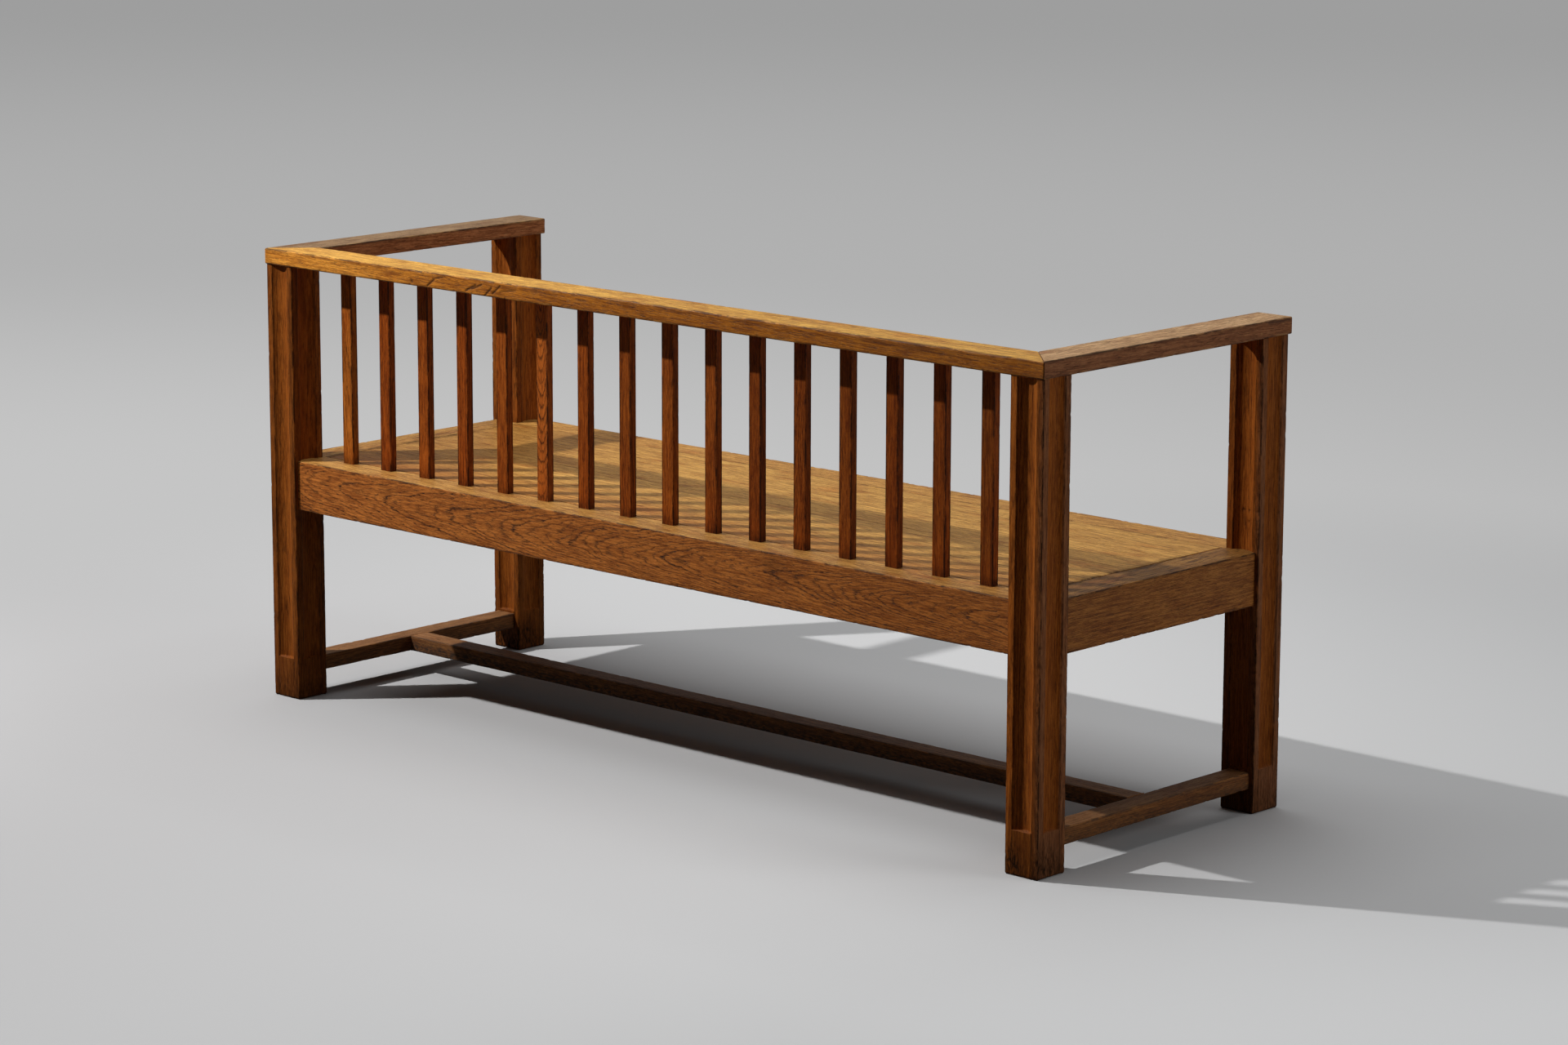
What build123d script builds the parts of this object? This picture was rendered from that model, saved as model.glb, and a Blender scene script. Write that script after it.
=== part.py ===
"""Open-backed oak settle: fluted corner posts, mitred top rail, slatted back, boarded seat and an H of stretchers.

Millimetres, +Z up. The origin is on the floor under the middle of the settle. X runs along its length, +X is the
right-hand end of somebody facing the front, and the front looks towards -Y.
"""

from build123d import *
import os

# Overall sizes
settle_length = 1700.0
settle_depth = 590.0
settle_height = 770.0
seat_height = 412.5

# Top rail: one back piece and two arms of the same section
top_rail_width = 67.0
top_rail_thickness = 27.0
top_rail_round = 2.5
mitre_gap = 0.4

# Loose tongue in each back mitre
tongue_thickness = 4.0
tongue_width = 26.0
tongue_margin = 22.0
tongue_web = 3.0

# Corner posts
post_side = 63.0
post_round = 1.5
post_inset_back = 2.5
post_inset_front = 7.5
post_inset_end = 1.5
post_tenon_side = 26.0
post_tenon_length = 13.0
foot_chamfer = 2.5

# Flutes, one on each face of a post, from the top rail down to a square stop
flute_width = 38.0
flute_depth = 8.0
flute_stop_height = 69.5

# Back slats
slat_count = 16
slat_width = 24.5
slat_thickness = 13.0
slat_setback = 1.0
slat_row_shift = 2.8
slat_round = 0.8
slat_tenon_thickness = 7.0
slat_tenon_length = 12.0
slat_tenon_shoulder = 2.0
slat_face_shoulder = 1.5

# Seat frame
seat_rail_height = 84.0
seat_rail_thickness = 62.0
seat_rail_inset = 6.5
seat_rail_round = 1.5
rail_tenon_thickness = 12.0
rail_tenon_length = 23.0
rail_tenon_shoulder = 12.0

# Seat boards, tongued and grooved, and the bearers and cleats under them
board_count = 4
board_thickness = 20.0
board_gap = 0.4
board_tongue_thickness = 6.0
board_tongue_reach = 5.0
bearer_count = 3
bearer_width = 38.0
bearer_height = 30.0
bearer_tenon_length = 12.0
bearer_tenon_shoulder = 4.0
cleat_thickness = 20.0

# Stretchers
stretcher_width = 42.0
stretcher_height = 27.0
stretcher_top = 66.0
stretcher_inset = 8.0
stretcher_round = 1.5
stretcher_tenon_width = 28.0
stretcher_tenon_height = 14.0
stretcher_tenon_length = 22.0
long_tenon_length = 20.0

# Fits
tenon_play = 0.15
mortise_spare = 0.5
board_play = 0.3
overrun = 5.0

# Places that follow from the sizes
rail_underside = settle_height - top_rail_thickness
half_length = settle_length / 2
half_depth = settle_depth / 2
post_x = half_length - post_inset_end - post_side / 2
post_y = {
    "back": half_depth - post_inset_back - post_side / 2,
    "front": -(half_depth - post_inset_front - post_side / 2),
}
end_signs = {"left": -1, "right": 1}
side_signs = {"back": 1, "front": -1}
inner_x = post_x - post_side / 2
inner_y = {side: post_y[side] - side_signs[side] * post_side / 2 for side in side_signs}

seat_rail_x = post_x + post_side / 2 - seat_rail_inset
seat_rail_y = {side: post_y[side] + side_signs[side] * (post_side / 2 - seat_rail_inset) for side in side_signs}
opening_x = seat_rail_x - seat_rail_thickness
opening_y = {side: seat_rail_y[side] - side_signs[side] * seat_rail_thickness for side in side_signs}
seat_rail_z = (seat_height - seat_rail_height, seat_height)
board_z = (seat_height - board_thickness, seat_height)
bearer_z = (board_z[0] - bearer_height, board_z[0])

slat_y = (half_depth - top_rail_width + slat_setback, half_depth - top_rail_width + slat_setback + slat_thickness)
slat_gap = (2 * inner_x - slat_count * slat_width) / (slat_count + 1)
slat_pitch = slat_width + slat_gap
slat_centres = [slat_row_shift + (i - (slat_count - 1) / 2) * slat_pitch for i in range(slat_count)]

stretcher_x = (post_x + post_side / 2 - stretcher_inset - stretcher_width, post_x + post_side / 2 - stretcher_inset)
stretcher_z = (stretcher_top - stretcher_height, stretcher_top)
long_stretcher_y = (post_y["back"] + post_y["front"]) / 2

board_width = (opening_y["back"] - opening_y["front"] - 2 * board_play - (board_count - 1) * board_gap) / board_count
board_centres = [
    opening_y["front"] + board_play + board_width / 2 + i * (board_width + board_gap) for i in range(board_count)
]
board_x = (board_play - opening_x, opening_x - board_play)
bearer_centres = [(i + 1) * 2 * opening_x / (bearer_count + 1) - opening_x for i in range(bearer_count)]


def block(x, y, z):
    """A box from the low to the high end of each span, given in either order."""
    spans = [sorted(span) for span in (x, y, z)]
    middle = [(low + high) / 2 for low, high in spans]
    return Pos(*middle) * Box(*[high - low for low, high in spans])


def around(centre, size):
    """The span of a size laid evenly about a centre."""
    return (centre - size / 2, centre + size / 2)


def grown(span, amount):
    """A span made longer by an amount at both ends."""
    low, high = sorted(span)
    return (low - amount, high + amount)


def eased(solid, axis, radius):
    """Rounds the long arrises that run along an axis."""
    return fillet(solid.edges().filter_by(axis), radius)


# Joints: each tenon has one function, which gives it as cut on the piece, or grown to the mortise that takes it


def post_tenon(end, side, play=0.0, spare=0.0):
    """The stub tenon on top of a post, up into the top rail."""
    size = post_tenon_side + 2 * play
    z = (rail_underside, rail_underside + post_tenon_length + spare)
    return block(around(end_signs[end] * post_x, size), around(post_y[side], size), z)


def long_rail_tenon(end, side, play=0.0, spare=0.0):
    """The tenon of the back or front seat rail, into a post along X."""
    sign = end_signs[end]
    x = (sign * inner_x, sign * (inner_x + rail_tenon_length + spare))
    y = around(post_y[side], rail_tenon_thickness + 2 * play)
    return block(x, y, grown(seat_rail_z, play - rail_tenon_shoulder))


def end_rail_tenon(end, side, play=0.0, spare=0.0):
    """The tenon of an end seat rail, into a post along Y."""
    sign = side_signs[side]
    x = around(end_signs[end] * post_x, rail_tenon_thickness + 2 * play)
    y = (inner_y[side], inner_y[side] + sign * (rail_tenon_length + spare))
    return block(x, y, grown(seat_rail_z, play - rail_tenon_shoulder))


def end_stretcher_tenon(end, side, play=0.0, spare=0.0):
    """The tenon of an end stretcher, into the square foot of a post."""
    x = around(end_signs[end] * sum(stretcher_x) / 2, stretcher_tenon_width + 2 * play)
    y = (inner_y[side], inner_y[side] + side_signs[side] * (stretcher_tenon_length + spare))
    z = around(sum(stretcher_z) / 2, stretcher_tenon_height + 2 * play)
    return block(x, y, z)


def long_stretcher_tenon(end, play=0.0, spare=0.0):
    """The tenon of the long stretcher, into the middle of an end stretcher."""
    sign = end_signs[end]
    x = (sign * stretcher_x[0], sign * (stretcher_x[0] + long_tenon_length + spare))
    y = around(long_stretcher_y, stretcher_tenon_width + 2 * play)
    z = around(sum(stretcher_z) / 2, stretcher_tenon_height + 2 * play)
    return block(x, y, z)


def slat_tenons(x, play=0.0, spare=0.0):
    """A slat's two tenons, shouldered on one face only, so that the mortises keep clear of the rail's inner edge."""
    width = around(x, slat_width - 2 * slat_tenon_shoulder + 2 * play)
    face = slat_y[1] - slat_face_shoulder
    y = grown((face - slat_tenon_thickness, face), play)
    up = (rail_underside, rail_underside + slat_tenon_length + spare)
    down = (seat_height - slat_tenon_length - spare, seat_height)
    return block(width, y, up) + block(width, y, down)


def bearer_tenon(x, side, play=0.0, spare=0.0):
    """A bearer's stub tenon, into the inner face of the back or front seat rail."""
    sign = side_signs[side]
    y = (opening_y[side], opening_y[side] + sign * (bearer_tenon_length + spare))
    width = around(x, bearer_width - 2 * bearer_tenon_shoulder + 2 * play)
    return block(width, y, grown(bearer_z, play - bearer_tenon_shoulder))


def board_tongue(y, play=0.0, spare=0.0):
    """The tongue along the back edge of a seat board, into the board behind it."""
    edge = y + board_width / 2
    reach = (edge, edge + board_gap + board_tongue_reach + spare)
    return block(grown(board_x, play), reach, around(sum(board_z) / 2, board_tongue_thickness + 2 * play))


def mortise(tenon, *where):
    """The hole or groove that a tenon or tongue fits."""
    return tenon(*where, play=tenon_play, spare=mortise_spare)


# Pieces


def flutes(x, y):
    """The four flutes of a post: a shallow arc in section, cut from the top down to the stop."""
    half, face, outside = flute_width / 2, post_side / 2, post_side / 2 + overrun
    arc = ThreePointArc((-half, face), (0, face - flute_depth), (half, face))
    rim = Polyline((half, face), (half, outside), (-half, outside), (-half, face))
    cutter = extrude(make_face([arc, rim]), rail_underside + overrun - flute_stop_height)
    return [Pos(x, y, flute_stop_height) * Rot(0, 0, turn) * cutter for turn in (0, 90, 180, 270)]


def scribe(end, side, turn):
    """What a seat rail's end fills of the flute in the face that it meets: the face at +Y, turned about the post."""
    half, face = flute_width / 2 - tenon_play, post_side / 2
    arc = ThreePointArc((-half, face), (0, face - flute_depth + tenon_play), (half, face))
    segment = make_face([arc, Line((half, face), (-half, face))])
    place = Pos(end_signs[end] * post_x, post_y[side], seat_rail_z[0])
    return place * Rot(0, 0, turn) * extrude(segment, seat_rail_height)


def corner_post(end, side):
    """A square post, its stub tenon, four stopped flutes and the mortises of what meets it."""
    x, y = end_signs[end] * post_x, post_y[side]
    shaft = block(around(x, post_side), around(y, post_side), (0, rail_underside))
    shaft = chamfer(shaft.faces().sort_by(Axis.Z)[0].edges(), foot_chamfer)
    shaft = eased(shaft, Axis.Z, post_round)
    shaft -= flutes(x, y)
    shaft += post_tenon(end, side)
    shaft -= mortise(long_rail_tenon, end, side)
    shaft -= mortise(end_rail_tenon, end, side)
    shaft -= mortise(end_stretcher_tenon, end, side)
    return shaft


def mitre_frame(end, length, width, thickness, z):
    """A bar laid along a back mitre, or across the middle of it."""
    middle = half_length - top_rail_width / 2
    turn = 45 * end_signs[end]
    place = Pos(end_signs[end] * middle, half_depth - top_rail_width / 2, z)
    return place * Rot(0, 0, turn) * Box(length, width, thickness)


mitre_length = top_rail_width * 2**0.5
tongue_z = rail_underside + post_tenon_length + mortise_spare + tongue_web + tongue_thickness / 2


def mitre_tongue(end, play=0.0):
    """The loose tongue that keys a mitre, above the post's tenon."""
    length = mitre_length - 2 * tongue_margin + 2 * play
    return mitre_frame(end, length, tongue_width + 2 * play, tongue_thickness + 2 * play, tongue_z)


def mitre_saw_cut(end):
    """The narrow gap between the two halves of a mitre."""
    reach = mitre_length + 2 * overrun
    return mitre_frame(end, reach, mitre_gap, top_rail_thickness + 2 * overrun, rail_underside + top_rail_thickness / 2)


def top_rail_slab(corners):
    """A top rail piece from its four corners in plan, before its arrises are rounded."""
    plan = make_face(Polyline(*corners, close=True))
    return Pos(0, 0, rail_underside) * extrude(plan, top_rail_thickness)


def joined_at_mitre(piece, ends):
    """Cuts the mitre gap and the sockets of the tongues and the back posts' tenons."""
    for end in ends:
        piece -= mitre_saw_cut(end)
        piece -= mitre_tongue(end, tenon_play)
        piece -= mortise(post_tenon, end, "back")
    return piece


def back_top_rail():
    """The back piece of the top rail, with the upper mortises of the slats."""
    inner = half_length - top_rail_width
    inner_edge = half_depth - top_rail_width
    rail = top_rail_slab(
        [(-half_length, half_depth), (half_length, half_depth), (inner, inner_edge), (-inner, inner_edge)]
    )
    rail = eased(rail, Axis.X, top_rail_round)
    rail = joined_at_mitre(rail, end_signs)
    return rail - [mortise(slat_tenons, x) for x in slat_centres]


def arm(end):
    """An arm: mitred at the back, square and rounded at the front."""
    sign = end_signs[end]
    outer, inner = sign * half_length, sign * (half_length - top_rail_width)
    rail = top_rail_slab(
        [(outer, half_depth), (outer, -half_depth), (inner, -half_depth), (inner, half_depth - top_rail_width)]
    )
    long_edges = rail.edges().filter_by(Axis.Y)
    front_edges = rail.faces().sort_by(Axis.Y)[0].edges()
    rail = fillet(ShapeList(long_edges + front_edges), top_rail_round)
    rail = joined_at_mitre(rail, [end])
    return rail - mortise(post_tenon, end, "front")


def back_slat(x):
    """A plain slat with its tenons."""
    slat = block(around(x, slat_width), slat_y, (seat_height, rail_underside))
    return eased(slat, Axis.Z, slat_round) + slat_tenons(x)


def long_seat_rail(side):
    """The back or front seat rail, between the posts, with its tenons and the sockets of the bearers and slats."""
    rail = block((-inner_x, inner_x), (opening_y[side], seat_rail_y[side]), seat_rail_z)
    rail = eased(rail, Axis.X, seat_rail_round)
    for end, sign in end_signs.items():
        rail += [scribe(end, side, 180 - 90 * sign), long_rail_tenon(end, side)]
    rail -= [mortise(bearer_tenon, x, side) for x in bearer_centres]
    if side == "back":
        rail -= [mortise(slat_tenons, x) for x in slat_centres]
    return rail


def end_seat_rail(end):
    """An end seat rail, notched round the long rails where they stand proud of the posts' inner faces."""
    sign = end_signs[end]
    rail = block((sign * opening_x, sign * seat_rail_x), (inner_y["front"], inner_y["back"]), seat_rail_z)
    rail = eased(rail, Axis.Y, seat_rail_round)
    for side, side_sign in side_signs.items():
        rail += [scribe(end, side, 90 + 90 * side_sign), end_rail_tenon(end, side)]
        long_rail = block(
            grown((-inner_x, inner_x), tenon_play),
            grown((opening_y[side], seat_rail_y[side]), tenon_play),
            grown(seat_rail_z, overrun),
        )
        rail -= long_rail
    return rail


def clear_of_posts(piece):
    """Notches a piece round any post that it would meet."""
    for end in end_signs:
        for side in side_signs:
            x, y = around(end_signs[end] * post_x, post_side), around(post_y[side], post_side)
            piece -= block(grown(x, board_play), grown(y, board_play), (0, rail_underside))
    return piece


def seat_board(i):
    """A seat board, counted from the front: a tongue on its back edge and a groove in its front one."""
    board = block(board_x, around(board_centres[i], board_width), board_z)
    if i < board_count - 1:
        board += board_tongue(board_centres[i])
    if i > 0:
        board -= mortise(board_tongue, board_centres[i - 1])
    return clear_of_posts(board)


def seat_bearer(x):
    """A bearer across the seat, with its stub tenons."""
    bearer = block(around(x, bearer_width), (opening_y["front"], opening_y["back"]), bearer_z)
    for side in side_signs:
        bearer += bearer_tenon(x, side)
    return bearer


def seat_cleat(end):
    """A cleat on an end rail, under the ends of the boards."""
    sign = end_signs[end]
    y = grown((opening_y["front"], opening_y["back"]), -board_play)
    return clear_of_posts(block((sign * opening_x, sign * (opening_x - cleat_thickness)), y, bearer_z))


def end_stretcher(end):
    """A low stretcher between the front and back posts of one end."""
    sign = end_signs[end]
    bar = block([sign * x for x in stretcher_x], (inner_y["front"], inner_y["back"]), stretcher_z)
    bar = eased(bar, Axis.Y, stretcher_round)
    for side in side_signs:
        bar += end_stretcher_tenon(end, side)
    return bar - mortise(long_stretcher_tenon, end)


def long_stretcher():
    """The stretcher that joins the two end ones."""
    bar = block((-stretcher_x[0], stretcher_x[0]), around(long_stretcher_y, stretcher_width), stretcher_z)
    bar = eased(bar, Axis.X, stretcher_round)
    for end in end_signs:
        bar += long_stretcher_tenon(end)
    return bar


def settle():
    """Every piece by the name of its node."""
    pieces = {"top_rail_back": back_top_rail(), "stretcher_long": long_stretcher()}
    for side in side_signs:
        pieces[f"seat_rail_{side}"] = long_seat_rail(side)
    for end in end_signs:
        pieces[f"arm_{end}"] = arm(end)
        pieces[f"mitre_tongue_{end}"] = mitre_tongue(end)
        pieces[f"seat_rail_{end}"] = end_seat_rail(end)
        pieces[f"seat_cleat_{end}"] = seat_cleat(end)
        pieces[f"stretcher_{end}"] = end_stretcher(end)
        for side in side_signs:
            pieces[f"post_{side}_{end}"] = corner_post(end, side)
    for i, x in enumerate(slat_centres):
        pieces[f"back_slat_{i + 1:02d}"] = back_slat(x)
    for i in range(board_count):
        pieces[f"seat_board_{i + 1}"] = seat_board(i)
    for i, x in enumerate(bearer_centres):
        pieces[f"seat_bearer_{i + 1}"] = seat_bearer(x)
    return pieces


os.makedirs("parts", exist_ok=True)
for name, piece in settle().items():
    export_step(piece, f"parts/{name}.step")
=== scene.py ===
import math

import bpy
import numpy as np
from mathutils import Matrix, Vector


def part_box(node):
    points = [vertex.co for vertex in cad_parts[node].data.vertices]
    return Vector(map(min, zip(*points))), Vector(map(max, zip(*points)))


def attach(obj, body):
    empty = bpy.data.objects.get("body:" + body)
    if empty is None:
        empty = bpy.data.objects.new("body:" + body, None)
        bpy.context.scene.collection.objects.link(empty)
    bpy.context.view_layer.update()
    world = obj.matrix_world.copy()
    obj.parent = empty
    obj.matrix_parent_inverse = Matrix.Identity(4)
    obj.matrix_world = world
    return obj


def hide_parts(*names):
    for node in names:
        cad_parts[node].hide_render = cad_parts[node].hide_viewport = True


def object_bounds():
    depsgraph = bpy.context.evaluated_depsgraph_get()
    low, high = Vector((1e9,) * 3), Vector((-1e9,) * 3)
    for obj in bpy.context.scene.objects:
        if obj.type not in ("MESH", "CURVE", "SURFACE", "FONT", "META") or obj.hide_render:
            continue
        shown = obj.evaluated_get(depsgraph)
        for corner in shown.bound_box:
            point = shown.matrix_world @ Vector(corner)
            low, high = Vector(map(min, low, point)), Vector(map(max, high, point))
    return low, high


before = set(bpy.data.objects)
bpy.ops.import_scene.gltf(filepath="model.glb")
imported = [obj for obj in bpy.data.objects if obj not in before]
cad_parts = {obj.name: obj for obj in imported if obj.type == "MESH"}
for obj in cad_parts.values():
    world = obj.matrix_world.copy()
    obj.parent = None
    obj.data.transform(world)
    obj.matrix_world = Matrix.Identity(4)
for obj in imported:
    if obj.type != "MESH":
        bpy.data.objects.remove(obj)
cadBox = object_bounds()
scene = bpy.context.scene
print("frame loaded:", len(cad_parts), "pieces of the settle")


# camera: low behind the settle and beyond its left end, with a long lens
cameraPlace = {"place": (-4.93277, 5.21767, 1.81840), "yaw": 0.75037, "pitch": 0.19837, "roll": 0.00259,
               "lens": 104.0477, "sensor": 36, "farthest": 400}


def addCamera(spec):
    # aimed by yaw and pitch, then turned on its own axis by roll
    level = math.cos(spec["pitch"])
    forward = Vector((math.sin(spec["yaw"]) * level, -math.cos(spec["yaw"]) * level, -math.sin(spec["pitch"])))
    camera = bpy.data.objects.new("camera", bpy.data.cameras.new("camera"))
    scene.collection.objects.link(camera)
    camera.data.lens = spec["lens"]
    camera.data.sensor_width = spec["sensor"]
    camera.data.clip_end = spec["farthest"]
    turn = forward.to_track_quat("-Z", "Y").to_matrix() @ Matrix.Rotation(spec["roll"], 3, "Z")
    camera.matrix_world = Matrix.Translation(Vector(spec["place"])) @ turn.to_4x4()
    scene.camera = camera


addCamera(cameraPlace)
print("camera set")


# node helpers
def linear(red, green, blue):
    # a colour as it looks on a screen, 0 to 255, as the light values that shaders take
    shown = np.array([red, green, blue]) / 255
    return (*np.where(shown <= 0.04045, shown / 12.92, ((shown + 0.055) / 1.055) ** 2.4), 1.0)


def addNode(tree, kind, inputs=None, **settings):
    # an input that is a socket is linked, any other value is set
    node = tree.nodes.new("ShaderNode" + kind)
    for key, value in settings.items():
        setattr(node, key, value)
    for key, value in (inputs or {}).items():
        if isinstance(value, bpy.types.NodeSocket):
            tree.links.new(value, node.inputs[key])
        else:
            node.inputs[key].default_value = value
    return node


def calc(tree, operation, *values):
    return addNode(tree, "Math", dict(enumerate(values)), operation=operation).outputs[0]


def swayed(tree, base, value, amount):
    # base + amount * (value - 0.5)
    return calc(tree, "MULTIPLY_ADD", calc(tree, "SUBTRACT", value, 0.5), amount, base)


def atLeast(tree, value, least):
    # least + (1 - least) * value
    return calc(tree, "MULTIPLY_ADD", value, 1 - least, least)


def rise(tree, value, low, high):
    # 0 below low, 1 above high, smooth between
    inputs = {"Value": value, "From Min": low, "From Max": high}
    return addNode(tree, "MapRange", inputs, interpolation_type="SMOOTHSTEP").outputs[0]


def noise(tree, vector, frequencies, detail, roughness=0.5):
    # noise with its own frequency along each axis, from 0 to 1
    place = addNode(tree, "VectorMath", {0: vector, 1: frequencies}, operation="MULTIPLY").outputs[0]
    inputs = {"Vector": place, "Scale": 1.0, "Detail": detail, "Roughness": roughness}
    return addNode(tree, "TexNoise", inputs).outputs[0]


def blendColour(tree, share, first, second, way="MIX"):
    node = addNode(tree, "Mix", {0: share, 6: first, 7: second}, data_type="RGBA", blend_type=way)
    return node.outputs[2]


def newGroup(name, inputs, outputs):
    # a shader group; inputs and outputs give the kind of each socket by its name
    tree = bpy.data.node_groups.new(name, "ShaderNodeTree")
    for way, sockets in (("INPUT", inputs), ("OUTPUT", outputs)):
        for label, kind in sockets.items():
            tree.interface.new_socket(label, in_out=way, socket_type="NodeSocket" + kind)
    return tree, tree.nodes.new("NodeGroupInput").outputs, tree.nodes.new("NodeGroupOutput").inputs


def giveOut(tree, out, values):
    for label, value in values.items():
        tree.links.new(value, out[label])
    return tree


# what the figure draws, what a mesh carries, and the colours and depths that a finish gives
logNumbers = ("Ring gap", "Waver", "Jag")
drawnMasks = ("Rings", "Pores", "Streaks", "Fine", "Flecks")
meshMasks = ("Arris", "Chip", "Grime", "Tone", "Bleach")
paintNames = ("Pale", "Dark", "Top pale", "Top dark", "Rubbed", "Dirt")
depthNames = ("Ring depth", "Pore depth", "Fine depth", "Streak depth", "Rub", "Gloss")

# oak figure: growth rings round the pith, pores and rays, all in millimetres of the log
# a noise has waves per millimetre (twice across the log, once along it), detail and roughness
figureWork = {
    "slow": ((0.014, 0.014, 0.0028), 1.0), "small": ((0.05, 0.05, 0.014), 2.0), "smallShare": 0.35,
    "fibres": ((0.6, 0.6, 0.06), 3.0, 0.65), "fadeFrom": 0.05, "fadeTo": 0.22, "fadeVaries": 0.25, "nextFrom": 0.92,
    "broken": ((0.9, 0.9, 0.05), 1.0), "brokenSpan": (0.3, 0.55), "yearLeast": 0.45, "brokenLeast": 0.5,
    "pores": ((0.5, 0.5, 0.06), 3.0, 0.7), "poreSpan": (0.55, 0.61), "lateLeast": 0.5,
    "streaks": ((0.16, 0.16, 0.0035), 3.0, 0.65), "fine": ((0.32, 0.32, 0.02), 4.0, 0.85), "fineSpan": (0.42, 0.58),
    "rayTurn": 90.0, "rays": ((0.7, 0.09, 0.16), 1.0), "raySpan": (0.66, 0.74),
}


def makeFigureGroup(spec):
    inputs = {"Wood": "Vector", **dict.fromkeys(logNumbers, "Float")}
    tree, given, out = newGroup("oakFigure", inputs, dict.fromkeys(drawnMasks, "Float"))
    wood = given["Wood"]
    parts = addNode(tree, "SeparateXYZ", {0: wood}).outputs
    # distance from the pith, moved by slow waves, by small waves and by the fibres, counted in ring gaps
    squares = [calc(tree, "MULTIPLY", part, part) for part in (parts[0], parts[1])]
    radius = calc(tree, "SQRT", calc(tree, "ADD", *squares))
    moved = swayed(tree, radius, noise(tree, wood, *spec["slow"]), given["Waver"])
    smallWaver = calc(tree, "MULTIPLY", given["Waver"], spec["smallShare"])
    moved = swayed(tree, moved, noise(tree, wood, *spec["small"]), smallWaver)
    moved = swayed(tree, moved, noise(tree, wood, *spec["fibres"]), given["Jag"])
    count = calc(tree, "DIVIDE", moved, given["Ring gap"])
    share = calc(tree, "FRACT", count)
    year = addNode(tree, "TexWhiteNoise", {"W": calc(tree, "FLOOR", count)}, noise_dimensions="1D").outputs[0]
    # each year starts with a thin dark porous line, which fades out sooner in some years than in others
    fadeEnd = calc(tree, "MULTIPLY_ADD", year, spec["fadeVaries"], spec["fadeTo"])
    faded = calc(tree, "SUBTRACT", 1.0, rise(tree, share, spec["fadeFrom"], fadeEnd))
    early = calc(tree, "MAXIMUM", faded, rise(tree, share, spec["nextFrom"], 1.0))
    broken = rise(tree, noise(tree, wood, *spec["broken"]), *spec["brokenSpan"])
    broken = atLeast(tree, broken, spec["brokenLeast"])
    strength = calc(tree, "MULTIPLY", atLeast(tree, year, spec["yearLeast"]), broken)
    pore = rise(tree, noise(tree, wood, *spec["pores"]), *spec["poreSpan"])
    # rays stand on the rings, so they are thin round the pith, tall along the log and long across the rings
    turn = calc(tree, "MULTIPLY", calc(tree, "ARCTAN2", parts[1], parts[0]), spec["rayTurn"])
    around = addNode(tree, "CombineXYZ", {0: turn, 1: radius, 2: parts[2]}).outputs[0]
    return giveOut(tree, out, {
        "Rings": calc(tree, "MULTIPLY", early, strength),
        "Pores": calc(tree, "MULTIPLY", pore, atLeast(tree, early, spec["lateLeast"])),
        "Streaks": noise(tree, wood, *spec["streaks"]),
        "Fine": rise(tree, noise(tree, wood, *spec["fine"]), *spec["fineSpan"]),
        "Flecks": rise(tree, noise(tree, around, *spec["rays"]), *spec["raySpan"]),
    })


# old finish: ring and pore colours, tone, rubbed arrises, chips, grime
skinWork = {
    "patch": ((0.03, 0.03, 0.009), 3.0, 0.6), "mottle": ((0.35, 0.35, 0.1), 3.0, 0.6),
    "worn": ((0.16, 0.16, 0.02), 4.0, 0.75), "bleachSpan": (0.15, 0.5), "fleckShare": 0.22,
    "mottleDepth": 0.5, "patchDepth": 0.6, "darkest": 0.15, "greenPower": 1.25, "bluePower": 1.5,
    "rubSpan": (0.48, 0.62), "soilSpan": (0.55, 0.47), "soilPower": 1.5, "soilShare": 0.9, "chipShare": 0.8,
    "dirtSpan": (0.35, 0.65), "dirtLeast": 0.4, "mottleRough": 0.25, "poreRough": 0.18, "dirtRough": 0.25,
    "poreHeight": -0.6, "ringHeight": -0.3, "mottleHeight": 0.5,
}


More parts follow.
